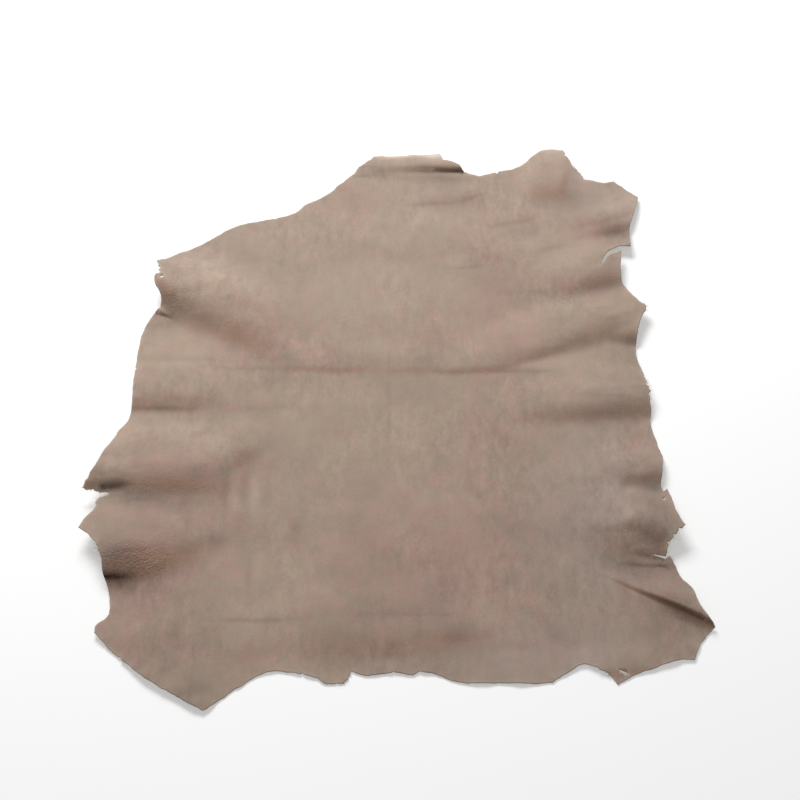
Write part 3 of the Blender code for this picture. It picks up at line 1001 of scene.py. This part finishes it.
def new_group(kind, name, inputs, outputs):
    """A node group with named sockets, what it is given, and the node that its results go to."""
    tree = bpy.data.node_groups.new(name, kind)
    for label, socket_kind, *default in inputs:
        socket = tree.interface.new_socket(label, in_out="INPUT", socket_type=socket_kind)
        if default:
            socket.default_value = default[0]
    for label, socket_kind in outputs:
        tree.interface.new_socket(label, in_out="OUTPUT", socket_type=socket_kind)
    given = new_node(tree, "NodeGroupInput").outputs
    return tree, given, new_node(tree, "NodeGroupOutput")


# ---------------------------------------------------------------- leather shading

Pattern = namedtuple("Pattern", "scale detail roughness distortion", defaults=(0.0,))

# in the colour, from the largest down; a scale of 10 is about 100 mm
PATCHES = Pattern(7.0, 3.0, 0.5, 0.6)
UNEVEN = Pattern(9.0, 2.0, 0.5)
CLOUDS = Pattern(17.0, 6.0, 0.62, 0.35)
FLECKS = Pattern(52.0, 4.0, 0.68, 0.4)
BLOTS = Pattern(66.0, 4.0, 0.78, 0.3)
NAP = Pattern(420.0, 3.0, 0.7)
# in the height
FINE_WRINKLES = Pattern(120.0, 3.0, 0.55, 1.2)
STROKES = Pattern(150.0, 4.0, 0.6, 0.5)
NAP_HEIGHT = Pattern(900.0, 3.0, 0.7)
PEBBLE_SCALE = 400.0
PORE_SCALE = 520.0
PORE_RIM = (0.05, 0.3)  # from a pore's floor to its rim, as shares of a cell

PATCH_SHARE = 0.6       # strength of the patches beside the clouds'
SHADE_GRAIN = 1.6       # how much grainier the colour is on those shaded sides: painted grain of light grazing the nap
BLOT_SHARE = ((0.35, 0.65), (0.25, 1.5))    # from the uneven pattern to the blots' strength
MARK_AND_SHADE_TONE = -0.16       # how much a mark or painted shade of strength 1 takes off the brightness
FLECK_STRENGTH = 2.9    # how far the flecks break up the blush
STRAY_BLUSH = 0.08      # outside its patches
STRAY_PATCHES = 1.1     # and how far that follows the colour's own patches


def leather_tone_group():
    """Colour of leather: cloudy mottle, fine nap, pink blush, worn marks with painted shade, and a
    paler rim.

    On the sides of folds that slope down to the butt, away from the key light, the colour is
    painted warmer and grainier: painted shade.
    """
    tree, given, result = new_group(
        "ShaderNodeTree", "Leather Tone",
        (
            ("Vector", VECTOR),
            ("Main Colour", COLOUR, (0.4, 0.31, 0.25, 1.0)),
            ("Blush Colour", COLOUR, (0.42, 0.28, 0.24, 1.0)),
            ("Grey Colour", COLOUR, (0.39, 0.31, 0.26, 1.0)),
            ("Rim Colour", COLOUR, (0.5, 0.42, 0.35, 1.0)),
            ("Steep Colour", COLOUR, (0.42, 0.3, 0.21, 1.0)),
            ("Blush", NUMBER, 0.0), ("Grey", NUMBER, 0.0), ("Mark", NUMBER, 0.0),
            ("Rim", NUMBER, 0.0), ("Steep", NUMBER, 0.0), ("Mottle", NUMBER, 0.5),
            ("Grain", NUMBER, 0.2), ("Blots", NUMBER, 0.2),
        ),
        (("Colour", COLOUR), ("Roughness", NUMBER)),
    )
    place = given["Vector"]
    brushed = stretched(tree, place, (1.2, 0.6, 1.0))
    patches = maths(tree, "MULTIPLY", centred_noise(tree, place, PATCHES), PATCH_SHARE)
    mottle = maths(tree, "ADD", centred_noise(tree, place, CLOUDS), patches)
    mottle = maths(tree, "MULTIPLY", mottle, given["Mottle"])
    # the nap's grain is stronger on the shaded sides: painted grazing light
    grain = scaled(tree, given["Steep"], SHADE_GRAIN, 1.0)
    grain = maths(tree, "MULTIPLY", grain, given["Grain"])
    nap = maths(tree, "MULTIPLY", centred_noise(tree, place, NAP), grain)
    share = ranged(tree, noise_value(tree, place, UNEVEN), *BLOT_SHARE)
    share = maths(tree, "MULTIPLY", share, given["Blots"])
    blots = maths(tree, "MULTIPLY", centred_noise(tree, brushed, BLOTS), share)
    # marks and painted shade darken the colour
    mark = maths(tree, "MULTIPLY", given["Mark"], MARK_AND_SHADE_TONE)
    tone = maths(tree, "ADD", mottle, nap, blots, mark, 1.0)

    flecks = maths(tree, "MULTIPLY", centred_noise(tree, place, FLECKS), FLECK_STRENGTH)
    blush = maths(tree, "MULTIPLY", given["Blush"], maths(tree, "ADD", flecks, 1.0))
    stray = maths(tree, "MULTIPLY", patches, STRAY_PATCHES)
    blush = maths(tree, "ADD", blush, flecks, STRAY_BLUSH, stray)
    blush = result_of(tree, "ShaderNodeClamp", {"Value": blush})

    colour = given["Main Colour"]
    for share, other in (
        (given["Grey"], "Grey Colour"), (blush, "Blush Colour"),
        (given["Steep"], "Steep Colour"), (given["Rim"], "Rim Colour"),
    ):
        inputs = {"Factor": share, 6: colour, 7: given[other]}
        colour = new_node(tree, "ShaderNodeMix", inputs, data_type="RGBA").outputs[2]
    inputs = {0: colour, "Scale": tone}
    toned = result_of(tree, "ShaderNodeVectorMath", inputs, operation="SCALE")
    roughness = scaled(tree, mottle, -0.5, 0.9)
    feed(tree, result, {"Colour": toned, "Roughness": roughness})
    return tree


def leather_relief_group():
    """Height of leather's surface: nap, pebbled grain, pores and brushed strokes."""
    tree, given, result = new_group(
        "ShaderNodeTree", "Leather Relief",
        (
            ("Vector", VECTOR), ("Nap", NUMBER, 0.3), ("Pebble", NUMBER, 0.4),
            ("Pores", NUMBER, 0.2), ("Strokes", NUMBER, 0.3), ("Wrinkle", NUMBER, 0.0),
        ),
        (("Height", NUMBER),),
    )
    place = given["Vector"]
    inputs = {"Vector": place, "Scale": PEBBLE_SCALE, "Smoothness": 0.6}
    pebble = result_of(tree, "ShaderNodeTexVoronoi", inputs, feature="SMOOTH_F1")
    pores = result_of(tree, "ShaderNodeTexVoronoi", {"Vector": place, "Scale": PORE_SCALE})
    brushed = stretched(tree, place, (1.0, 0.22, 1.0), 0.35)
    pulled = stretched(tree, place, (0.55, 1.0, 1.0))
    heights = {
        "Nap": noise_value(tree, place, NAP_HEIGHT),
        "Pebble": pebble,
        "Pores": ranged(tree, pores, PORE_RIM, (0.0, 1.0), interpolation_type="SMOOTHSTEP"),
        "Strokes": noise_value(tree, brushed, STROKES),
        "Wrinkle": maths(tree, "ABSOLUTE", centred_noise(tree, pulled, FINE_WRINKLES)),
    }
    parts = [maths(tree, "MULTIPLY", part, given[name]) for name, part in heights.items()]
    feed(tree, result, {"Height": maths(tree, "ADD", *parts)})
    return tree


def leather_material(name, groups, tone, relief, bump, sheen):
    """Leather from the shared tone and relief groups, each given this face's own values.

    A value that is a name is read from the mesh.  The bump is its strength and its height.
    """
    material = bpy.data.materials.new(name)
    material.use_nodes = True
    tree = material.node_tree
    place = new_node(tree, "ShaderNodeTexCoord").outputs["Object"]
    made = []
    for group, values in zip(groups, (tone, relief)):
        inputs = {"Vector": place}
        for socket, value in values.items():
            if isinstance(value, str):
                attribute = new_node(tree, "ShaderNodeAttribute", attribute_name=value)
                value = attribute.outputs["Fac"]
            inputs[socket] = value
        made.append(new_node(tree, "ShaderNodeGroup", inputs, node_tree=group).outputs)
    colour, height = made
    strength, distance = bump
    inputs = {"Strength": strength, "Distance": distance, "Height": height["Height"]}
    feed(tree, tree.nodes["Principled BSDF"], {
        "Base Color": colour["Colour"], "Roughness": colour["Roughness"],
        "Normal": result_of(tree, "ShaderNodeBump", inputs), "Specular IOR Level": 0.25,
        "Sheen Weight": sheen, "Sheen Roughness": 0.6,
    })
    return material


def hide_materials(colours):
    """Napped face, flesh side, cut edge and loose fibres."""
    groups = (leather_tone_group(), leather_relief_group())
    nap, blush, grey, steep, flesh, cut = (
        (*colour, 1.0) for colour in (
            colours.nap, colours.blush, colours.grey, colours.steep, colours.flesh, colours.cut,
        )
    )
    coarse = {"Rim Colour": cut, "Mottle": 0.5, "Grain": 0.6, "Blots": 0.5}
    napped = leather_material(
        "napped_face", groups,
        coarse | {
            "Main Colour": nap, "Blush Colour": blush, "Grey Colour": grey, "Steep Colour": steep,
            "Blush": "blush", "Grey": "grey", "Mark": "mark", "Rim": "rim", "Steep": "steep",
            "Mottle": 0.32, "Grain": 0.22,
        },
        {"Nap": 0.35, "Pebble": "pebble", "Pores": 0.1, "Strokes": 0.5, "Wrinkle": "ruffle"},
        (0.55, 0.0006), 0.12,
    )
    under = leather_material(
        "flesh_side", groups,
        coarse | {
            "Main Colour": flesh, "Blush Colour": cut, "Grey Colour": flesh,
            "Blush": 0.15, "Rim": "rim", "Grain": 0.5,
        },
        {"Nap": 0.9, "Pebble": 0.2, "Pores": 0.0, "Strokes": 1.0, "Wrinkle": 0.2},
        (0.8, 0.0012), 0.2,
    )
    edge = leather_material(
        "cut_edge", groups,
        coarse | {"Main Colour": cut, "Blush Colour": blush, "Grey Colour": cut, "Blush": 0.1},
        {"Nap": 1.0, "Pebble": 0.1, "Pores": 0.0, "Strokes": 0.8, "Wrinkle": 0.0},
        (0.8, 0.0008), 0.1,
    )
    fibre = leather_material(
        "torn_fibre", groups,
        coarse | {"Main Colour": nap, "Blush Colour": cut, "Grey Colour": nap, "Blush": 0.6},
        {"Nap": 1.0, "Pebble": 0.0, "Pores": 0.0, "Strokes": 0.4, "Wrinkle": 0.0},
        (0.4, 0.0004), 0.1,
    )
    return {"nap": napped, "flesh": under, "cut": edge, "fibre": fibre}


# ---------------------------------------------------------------- geometry nodes

SLACK_LEVEL = 0.42      # the sheet lies flat where the slack waves' noise is below this


def named_attribute(tree, name, kind="FLOAT"):
    """What the mesh carries under a name."""
    return result_of(tree, "GeometryNodeInputNamedAttribute", {"Name": name}, data_type=kind)


def seeded_noise(tree, vector, given, scale, distortion):
    """A Noise Texture's value, which the tree's seed moves."""
    return result_of(tree, "ShaderNodeTexNoise", {
        "Vector": vector, "W": given["Seed"], "Scale": given[scale], "Detail": 2.0,
        "Distortion": distortion,
    }, noise_dimensions="4D")


def random_number(tree, given, low, high):
    """A number at each point between low and high, which the tree's seed picks."""
    inputs = {2: low, 3: high, "Seed": given["Seed"]}
    return new_node(tree, "FunctionNodeRandomValue", inputs, data_type="FLOAT").outputs[1]


def close_tree(tree, geometry, material, result):
    """End a tree: instances made real, and the material set."""
    real = result_of(tree, "GeometryNodeRealizeInstances", {"Geometry": geometry})
    inputs = {"Geometry": real, "Material": material}
    feed(tree, result, {"Geometry": result_of(tree, "GeometryNodeSetMaterial", inputs)})
    return tree


def relief_tree(material):
    """Geometry Nodes: slack waves all over the sheet, and wrinkles where it is folded."""
    tree, given, result = new_group(
        "GeometryNodeTree", "Hide Relief",
        (
            ("Geometry", GEOMETRY),
            ("Wave Height", NUMBER, 0.0006), ("Wave Scale", NUMBER, 14.0),
            ("Wrinkle Height", NUMBER, 0.0007), ("Wrinkle Scale", NUMBER, 34.0),
            ("Seed", NUMBER, 7.0),
        ),
        (("Geometry", GEOMETRY),),
    )
    position = result_of(tree, "GeometryNodeInputPosition")
    flat = vector_maths(tree, "MULTIPLY", position, (1.0, 1.0, 0.0))
    slack = seeded_noise(tree, flat, given, "Wave Scale", 0.0)
    slack = maths(tree, "MAXIMUM", maths(tree, "SUBTRACT", slack, SLACK_LEVEL), 0.0)
    slack = maths(tree, "MULTIPLY", slack, given["Wave Height"], 3.0)

    narrow = vector_maths(tree, "MULTIPLY", flat, (0.42, 1.0, 0.0))
    wrinkle = seeded_noise(tree, narrow, given, "Wrinkle Scale", 0.6)
    wrinkle = maths(tree, "ABSOLUTE", maths(tree, "SUBTRACT", wrinkle, 0.5))
    ruffle = named_attribute(tree, "ruffle")
    wrinkle = maths(tree, "MULTIPLY", wrinkle, 4.0, given["Wrinkle Height"], ruffle)

    lift = maths(tree, "ADD", slack, wrinkle)
    offset = result_of(tree, "ShaderNodeCombineXYZ", {"Z": lift})
    inputs = {"Geometry": given["Geometry"], "Offset": offset}
    moved = result_of(tree, "GeometryNodeSetPosition", inputs)
    return close_tree(tree, moved, material, result)


def fibre_tree(material):
    """Geometry Nodes: short loose fibres along the outline, more of them where it is torn."""
    tree, given, result = new_group(
        "GeometryNodeTree", "Torn Fibres",
        (
            ("Geometry", GEOMETRY), ("Spacing", NUMBER, 0.0015), ("Length", NUMBER, 0.0019),
            ("Radius", NUMBER, 0.0001), ("Seed", WHOLE_NUMBER, 7),
        ),
        (("Geometry", GEOMETRY),),
    )
    path = result_of(tree, "GeometryNodeMeshToCurve", {"Mesh": given["Geometry"]})
    inputs = {"Curve": path, "Length": given["Spacing"]}
    roots = result_of(tree, "GeometryNodeResampleCurve", inputs, mode="LENGTH")
    torn = named_attribute(tree, "torn")
    chosen = result_of(tree, "FunctionNodeCompare", {
        0: random_number(tree, given, 0.0, 1.0), 1: torn,
    }, data_type="FLOAT", operation="LESS_THAN")

    outward = named_attribute(tree, "outward", "FLOAT_VECTOR")
    stray = result_of(tree, "FunctionNodeRandomValue", {
        "Min": (-0.9, -0.9, -0.25), "Max": (0.9, 0.9, 0.7), "Seed": given["Seed"],
    }, data_type="FLOAT_VECTOR")
    way = vector_maths(tree, "ADD", outward, stray)
    aim = result_of(tree, "FunctionNodeAlignRotationToVector", {"Vector": way}, axis="Z")

    tip = result_of(tree, "ShaderNodeCombineXYZ", {"Z": given["Length"]})
    strand = result_of(tree, "GeometryNodeCurvePrimitiveBezierSegment", {
        "Resolution": 3, "Start": (0.0, 0.0, -0.0003), "Start Handle": (0.0, 0.0, 0.0006),
        "End": tip, "End Handle": (0.0005, 0.0003, -0.0003),
    }, mode="OFFSET")
    inputs = {"Resolution": 3, "Radius": given["Radius"]}
    ring = result_of(tree, "GeometryNodeCurvePrimitiveCircle", inputs, mode="RADIUS")
    inputs = {"Curve": strand, "Profile Curve": ring, "Fill Caps": True}
    fibre = result_of(tree, "GeometryNodeCurveToMesh", inputs)

    size = random_number(tree, given, 0.4, 1.5)
    size = maths(tree, "MULTIPLY", size, scaled(tree, torn, 0.9, 0.6))
    placed = result_of(tree, "GeometryNodeInstanceOnPoints", {
        "Points": roots, "Selection": chosen, "Instance": fibre, "Rotation": aim, "Scale": size,
    })
    return close_tree(tree, placed, material, result)


def run_tree(source, tree, values, name):
    """Evaluate a Geometry Nodes tree on a source object and return its result as a plain mesh."""
    modifier = source.modifiers.new("work", "NODES")
    modifier.node_group = tree
    named = {
        item.name: item.identifier for item in tree.interface.items_tree
        if item.item_type == "SOCKET" and item.in_out == "INPUT"
    }
    for label, value in values.items():
        modifier[named[label]] = value
    depsgraph = bpy.context.evaluated_depsgraph_get()
    depsgraph.update()
    mesh = bpy.data.meshes.new_from_object(
        source.evaluated_get(depsgraph), preserve_all_data_layers=True, depsgraph=depsgraph,
    )
    source.modifiers.remove(modifier)
    bpy.data.objects.remove(source)
    if not mesh.polygons:
        raise RuntimeError(f"{tree.name} made nothing for {name}")
    mesh.name = name
    return mesh


def place_object(name, data):
    """Link a mesh, a lamp or a camera as an object at the origin."""
    item = bpy.data.objects.new(name, data)
    bpy.context.scene.collection.objects.link(item)
    return item


def add_numbers(mesh, name, values):
    """Store one number a point under a name."""
    layer = mesh.attributes.new(name, "FLOAT", "POINT")
    layer.data.foreach_set("value", np.asarray(values, dtype=np.float32))


def model_place(spots, lift):
    """Table millimetres to model metres."""
    return np.column_stack((spots - outline_middle(), lift)) * MM


# ---------------------------------------------------------------- operators

class HIDE_OT_make_sheet(bpy.types.Operator):
    """Build the hide itself: outline, folds, relief, thickness and leather"""

    bl_idname = "hide.make_sheet"
    bl_label = "Make Hide"

    def execute(self, context):
        sizes = context.scene.hide_sizes
        materials = hide_materials(context.scene.hide_colours)
        line = torn_outline(sizes.edge_step / MM, sizes.edge_wander / MM, sizes.seed)
        holes = [hole_line(hole, i + 0.5) for i, hole in enumerate(HOLES)]
        spots, triangles = sheet_net(line, holes, sizes.net_pitch / MM)
        away = np.min([line_distance(spots, loop) for loop in (line, *holes)], axis=0)
        lift = sheet_lift(spots, away, sizes.flutter / MM, sizes.seed)

        net = bpy.data.meshes.new("hide_net")
        net.from_pydata(model_place(spots, lift).tolist(), [], triangles.tolist())
        for name, values in sheet_numbers(spots, away, lift).items():
            add_numbers(net, name, values)
        mesh = run_tree(place_object("hide_net", net), relief_tree(materials["nap"]), {
            "Wave Height": sizes.wave_height,
            "Wrinkle Height": sizes.wrinkle_height,
            "Seed": float(sizes.seed),
        }, "leather_hide")

        mesh.materials.clear()
        for key in ("nap", "flesh", "cut"):
            mesh.materials.append(materials[key])
        mesh.polygons.foreach_set("material_index", np.zeros(len(mesh.polygons), dtype=np.int32))
        mesh.shade_smooth()
        hide = place_object("leather_hide", mesh)
        thick = hide.modifiers.new("thickness", "SOLIDIFY")
        thick.thickness = sizes.thickness
        thick.offset = 1.0
        thick.use_even_offset = True
        thick.use_quality_normals = True
        thick.material_offset = 1
        thick.material_offset_rim = 2

        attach(hide, BODY)
        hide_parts(SOLID)
        context.scene["hide_outline"] = line.ravel().tolist()
        return {"FINISHED"}


class HIDE_OT_make_fibres(bpy.types.Operator):
    """Scatter short loose fibres along the cut and torn edge"""

    bl_idname = "hide.make_fibres"
    bl_label = "Make Torn Fibres"

    def execute(self, context):
        sizes = context.scene.hide_sizes
        line = np.array(context.scene["hide_outline"]).reshape(-1, 2)
        count = len(line)
        lift = sheet_lift(line, np.zeros(count), sizes.flutter / MM, sizes.seed)
        places = model_place(line, lift + 0.5 * sizes.thickness / MM)
        path = bpy.data.meshes.new("edge_path")
        path.from_pydata(places.tolist(), [(i, (i + 1) % count) for i in range(count)], [])
        layer = path.attributes.new("outward", "FLOAT_VECTOR", "POINT")
        outward = np.column_stack((outward_of(line), np.zeros(count)))
        layer.data.foreach_set("vector", outward.astype(np.float32).ravel())
        torn = np.max([closeness(line, part, part.reach, 4) for part in RAGGED], axis=0)
        add_numbers(path, "torn", np.maximum(torn, FRAYED))
        tree = fibre_tree(bpy.data.materials["torn_fibre"])
        mesh = run_tree(place_object("edge_path", path), tree, {
            "Spacing": sizes.fibre_spacing,
            "Length": sizes.fibre_length,
            "Seed": sizes.seed,
        }, "torn_fibres")
        fibres = place_object("torn_fibres", mesh)
        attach(fibres, BODY)

        return {"FINISHED"}


class HIDE_OT_make_stage(bpy.types.Operator):
    """Lay the pale floor and set the soft light and the camera"""

    bl_idname = "hide.make_stage"
    bl_label = "Make Stage"

    def execute(self, context):
        scene = context.scene
        studio = scene.hide_studio
        corners = ((-1, -1), (1, -1), (1, 1), (-1, 1))
        mesh = bpy.data.meshes.new("floor")
        mesh.from_pydata(
            [(x * FLOOR_REACH, y * FLOOR_REACH, FLOOR_LEVEL) for x, y in corners],
            [], [(0, 1, 2, 3)],
        )
        material = bpy.data.materials.new("pale_floor")
        material.use_nodes = True
        feed(material.node_tree, material.node_tree.nodes["Principled BSDF"], {
            "Base Color": (*studio.floor, 1.0), "Roughness": 0.9, "Specular IOR Level": 0.1,
            "Emission Color": WHITE, "Emission Strength": FLOOR_GLOW,
        })
        mesh.materials.append(material)
        floor = place_object("floor", mesh)

        world = bpy.data.worlds.new("soft_fill")
        world.use_nodes = True
        feed(world.node_tree, world.node_tree.nodes["Background"], {
            "Color": WHITE, "Strength": studio.sky,
        })
        scene.world = world

        lamp = bpy.data.lights.new("key", "AREA")
        lamp.energy = studio.key_power
        lamp.shape = "RECTANGLE"
        lamp.size, lamp.size_y = KEY_SIZE
        key = place_object("key", lamp)
        key.location = KEY_PLACE
        key.rotation_euler = (-Vector(KEY_PLACE)).to_track_quat("-Z", "Y").to_euler()

        back = Vector((0.0, -math.cos(studio.elevation), math.sin(studio.elevation)))
        lens = bpy.data.cameras.new("camera")
        lens.lens = studio.lens
        lens.sensor_width = SENSOR
        camera = place_object("camera", lens)
        camera.location = Vector((*(outline_middle() * -MM), 0.0)) + back * studio.distance
        camera.rotation_euler = back.to_track_quat("Z", "Y").to_euler()
        scene.camera = camera
        scene.view_settings.view_transform = "Standard"
        return {"FINISHED"}


class HIDE_PT_panel(bpy.types.Panel):
    """Lists the hide's sizes, colours and studio, with a button for each piece"""

    bl_idname = "HIDE_PT_panel"
    bl_label = "Leather Hide"
    bl_space_type = "VIEW_3D"
    bl_region_type = "UI"
    bl_category = "Hide"

    def draw(self, context):
        layout = self.layout
        scene = context.scene
        for group in (scene.hide_sizes, scene.hide_colours, scene.hide_studio):
            box = layout.box()
            for name in group.__annotations__:
                box.prop(group, name)
        for operator in (HIDE_OT_make_sheet, HIDE_OT_make_fibres, HIDE_OT_make_stage):
            layout.operator(operator.bl_idname)


CLASSES = (
    HideSizes, HideColours, StudioSettings,
    HIDE_OT_make_sheet, HIDE_OT_make_fibres, HIDE_OT_make_stage, HIDE_PT_panel,
)


def register():
    for item in CLASSES:
        bpy.utils.register_class(item)
    bpy.types.Scene.hide_sizes = PointerProperty(type=HideSizes)
    bpy.types.Scene.hide_colours = PointerProperty(type=HideColours)
    bpy.types.Scene.hide_studio = PointerProperty(type=StudioSettings)


def unregister():
    del bpy.types.Scene.hide_studio
    del bpy.types.Scene.hide_colours
    del bpy.types.Scene.hide_sizes
    for item in reversed(CLASSES):
        bpy.utils.unregister_class(item)


def main():
    register()
    bpy.ops.hide.make_sheet()
    bpy.ops.hide.make_fibres()
    bpy.ops.hide.make_stage()


if __name__ == "__main__":
    main()
